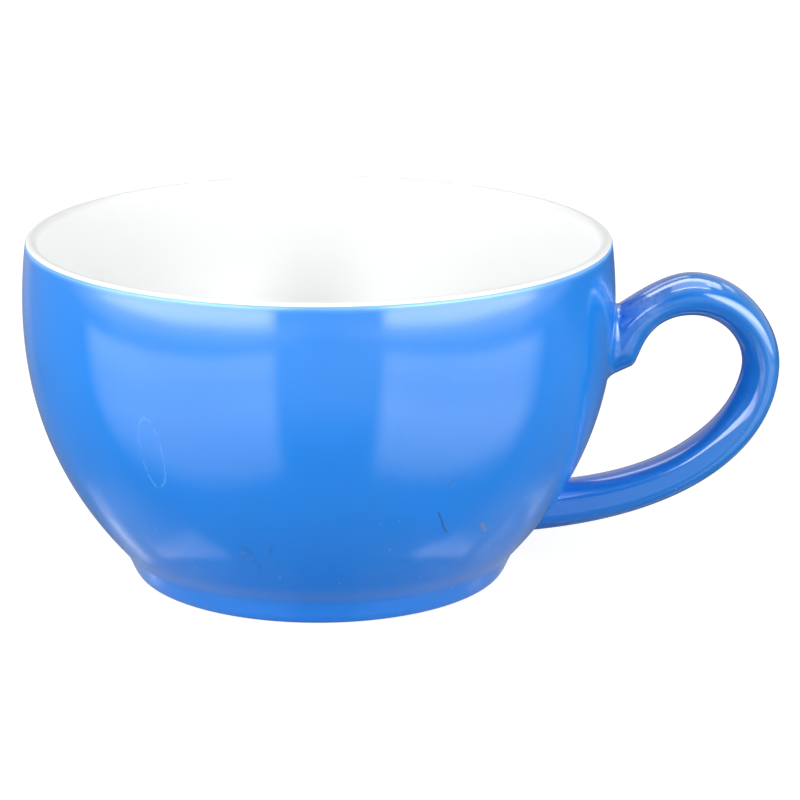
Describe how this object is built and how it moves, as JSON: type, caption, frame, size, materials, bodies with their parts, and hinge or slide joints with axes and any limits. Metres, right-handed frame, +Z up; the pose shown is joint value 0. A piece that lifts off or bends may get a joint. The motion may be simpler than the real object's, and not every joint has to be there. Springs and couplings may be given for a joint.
{
  "type": "cappuccino cup",
  "caption": "Wide round-bellied cappuccino cup, blue outside and white inside, on a low foot ring with a curled ear handle.",
  "frame": {"origin": "on the axis of the bowl, in the plane of the bare ring that the cup stands on", "axes": "+Z up along the axis of the bowl, +X towards the handle"},
  "size_m": [0.1433, 0.1116, 0.065],
  "materials": {
    "porcelain": "fired white clay under the glaze",
    "bare_foot": "bare fired clay, sanded smooth where the cup stands",
    "slip": "fired joining slip",
    "white_glaze": "gloss white glaze",
    "blue_glaze": "gloss bright blue glaze"
  },
  "bodies": {
    "root": {"bowl": "porcelain", "foot_ring": "bare_foot", "handle": "porcelain", "upper_joint_slip": "slip", "lower_joint_slip": "slip", "liner_glaze": "white_glaze", "outer_glaze": "blue_glaze", "base_glaze": "blue_glaze", "handle_glaze": "blue_glaze"}
  },
  "joints": []
}
